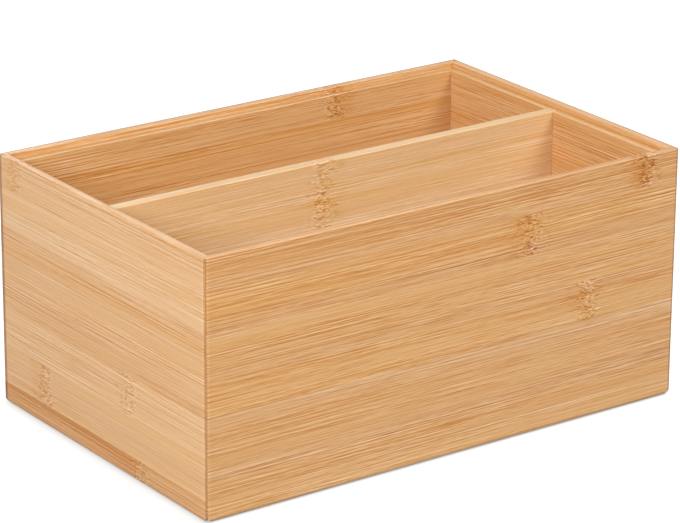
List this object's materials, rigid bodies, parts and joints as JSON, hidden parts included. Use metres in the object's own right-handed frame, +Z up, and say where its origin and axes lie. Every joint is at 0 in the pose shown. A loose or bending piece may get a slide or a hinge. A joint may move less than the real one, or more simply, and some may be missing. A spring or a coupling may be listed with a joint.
{
  "type": "storage box",
  "caption": "Open rectangular bamboo box with mitred corners, a rebate round the inside of its rim and a lengthwise divider that makes a front and a back compartment.",
  "frame": {"origin": "on the surface that the box stands on, below the middle of the box", "axes": "+X along the box's length, +Y from the front to the back, +Z up"},
  "size_m": [0.3, 0.196, 0.14],
  "materials": {
    "bamboo_board": "planed and sanded flat-pressed bamboo, clear satin lacquer",
    "bamboo_panel": "sanded bamboo panel, thin clear satin lacquer",
    "bamboo_divider": "sanded flat-pressed bamboo, clear satin lacquer"
  },
  "bodies": {
    "root": {"front_wall": "bamboo_board", "back_wall": "bamboo_board", "left_wall": "bamboo_board", "right_wall": "bamboo_board", "bottom_panel": "bamboo_panel", "divider": "bamboo_divider"}
  },
  "joints": []
}
